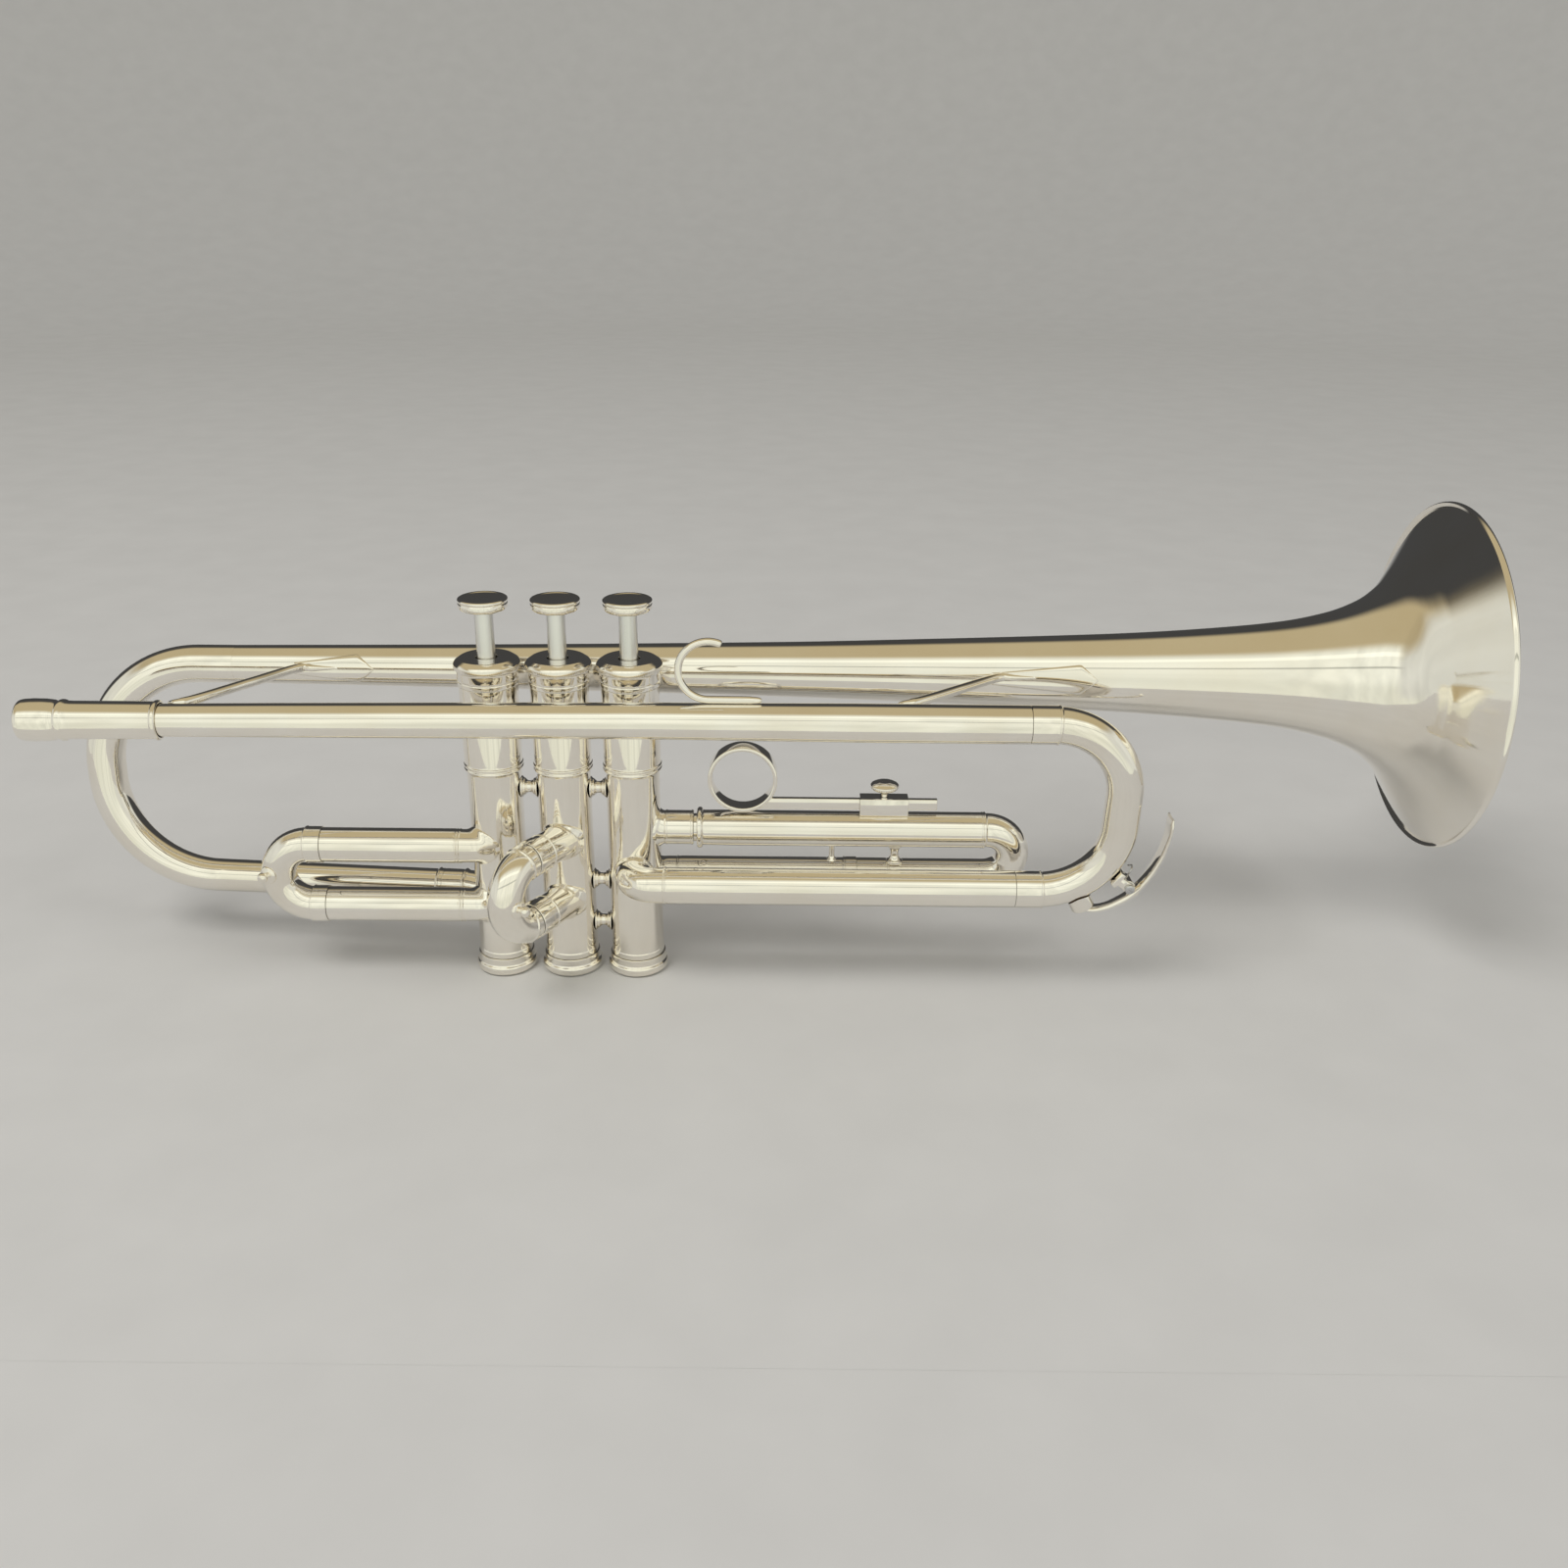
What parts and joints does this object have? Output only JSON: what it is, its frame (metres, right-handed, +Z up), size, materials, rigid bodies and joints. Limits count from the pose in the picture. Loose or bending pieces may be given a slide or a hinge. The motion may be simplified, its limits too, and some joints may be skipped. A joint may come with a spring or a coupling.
{
  "type": "trumpet",
  "caption": "Silver-plated B-flat trumpet with three sprung piston valves, pulling slides, finger ring, hook and water key",
  "frame": {"origin": "on the second valve's axis at the height of the leadpipe's axis, where the player's left hand wraps the valve cluster", "axes": "+X towards the bell, +Y from the leadpipe towards the bell tube, +Z up to the finger buttons"},
  "size_m": [0.4923, 0.132, 0.168],
  "materials": {
    "silver_plate": "polished silver plate over brass, mirror bright",
    "satin_nickel": "satin nickel over brass",
    "piston_metal": "lapped monel",
    "spring_steel": "drawn steel wire",
    "felt": "dense black felt",
    "guide_plastic": "moulded nylon",
    "cork": "natural cork"
  },
  "bodies": {
    "horn": {"mouthpiece_receiver": "silver_plate", "leadpipe": "silver_plate", "tuning_slide_tube": "silver_plate", "bell": "silver_plate", "bell_bow": "silver_plate", "first_slide_upper_tube": "silver_plate", "first_slide_lower_tube": "silver_plate", "second_slide_upper_tube": "silver_plate", "second_slide_lower_tube": "silver_plate", "third_slide_sleeve": "silver_plate", "third_slide_tube": "silver_plate", "finger_hook": "silver_plate", "rear_bell_brace": "silver_plate", "front_bell_brace": "silver_plate", "upper_casing_brace_12": "silver_plate", "upper_casing_brace_23": "silver_plate", "lower_casing_brace_12": "silver_plate", "lower_casing_brace_23": "silver_plate", "middle_casing_brace_23": "silver_plate", "valve_casing_1": "silver_plate", "top_cap_1": "silver_plate", "bottom_cap_1": "silver_plate", "valve_guide_1": "guide_plastic", "valve_spring_1": "spring_steel", "valve_casing_2": "silver_plate", "top_cap_2": "silver_plate", "bottom_cap_2": "silver_plate", "valve_guide_2": "guide_plastic", "valve_spring_2": "spring_steel", "valve_casing_3": "silver_plate", "top_cap_3": "silver_plate", "bottom_cap_3": "silver_plate", "valve_guide_3": "guide_plastic", "valve_spring_3": "spring_steel"},
    "tuning_slide": {"tuning_slide_crook": "silver_plate", "water_key_saddle": "silver_plate", "water_key_screw": "spring_steel", "water_key_spring": "spring_steel"},
    "water_key": {"water_key_lever": "silver_plate", "water_key_cork": "cork"},
    "first_slide": {"first_slide_crook": "silver_plate", "first_slide_knob": "silver_plate"},
    "second_slide": {"second_slide_crook": "silver_plate", "second_slide_knob": "silver_plate"},
    "third_slide": {"third_slide_crook": "silver_plate", "ring_box": "silver_plate"},
    "ring": {"finger_ring": "silver_plate"},
    "thumb_screw": {"thumb_screw": "silver_plate"},
    "valve_1": {"valve_piston_1": "piston_metal", "valve_stem_1": "satin_nickel", "finger_button_1": "silver_plate", "stem_felt_1": "felt"},
    "valve_2": {"valve_piston_2": "piston_metal", "valve_stem_2": "satin_nickel", "finger_button_2": "silver_plate", "stem_felt_2": "felt"},
    "valve_3": {"valve_piston_3": "piston_metal", "valve_stem_3": "satin_nickel", "finger_button_3": "silver_plate", "stem_felt_3": "felt"}
  },
  "joints": [
    {"name": "valve_1_press", "type": "slide", "parent": "horn", "child": "valve_1", "axis": [0, 0, -1], "range_m": [0, 0.016], "stiffness_N_per_m": 125, "springref_m": -0.024, "deforming": ["valve_spring_1"]},
    {"name": "valve_2_press", "type": "slide", "parent": "horn", "child": "valve_2", "axis": [0, 0, -1], "range_m": [0, 0.016], "stiffness_N_per_m": 125, "springref_m": -0.024, "deforming": ["valve_spring_2"]},
    {"name": "valve_3_press", "type": "slide", "parent": "horn", "child": "valve_3", "axis": [0, 0, -1], "range_m": [0, 0.016], "stiffness_N_per_m": 125, "springref_m": -0.024, "deforming": ["valve_spring_3"]},
    {"name": "tuning_slide_pull", "type": "slide", "parent": "horn", "child": "tuning_slide", "axis": [1, 0, 0], "range_m": [0, 0.04]},
    {"name": "first_slide_pull", "type": "slide", "parent": "horn", "child": "first_slide", "axis": [-1, 0, 0], "range_m": [0, 0.025]},
    {"name": "second_slide_pull", "type": "slide", "parent": "horn", "child": "second_slide", "axis": [-0.5, -0.866, 0], "range_m": [0, 0.01]},
    {"name": "third_slide_pull", "type": "slide", "parent": "horn", "child": "third_slide", "axis": [1, 0, 0], "range_m": [0, 0.025]},
    {"name": "ring_adjust", "type": "slide", "parent": "third_slide", "child": "ring", "axis": [1, 0, 0], "range_m": [-0.008, 0.012]},
    {"name": "thumb_screw_turn", "type": "hinge", "parent": "third_slide", "child": "thumb_screw", "pos_m": [0.113, 0, -0.034], "axis": [0, 0, 1], "range_deg": [0, 360]},
    {"name": "water_key_press", "type": "hinge", "parent": "tuning_slide", "child": "water_key", "pos_m": [0.1972, -0.0185, -0.0605], "axis": [0, -1, 0], "range_deg": [0, 12], "stiffness_Nm_per_rad": 0.08, "springref_deg": -20.05}
  ]
}
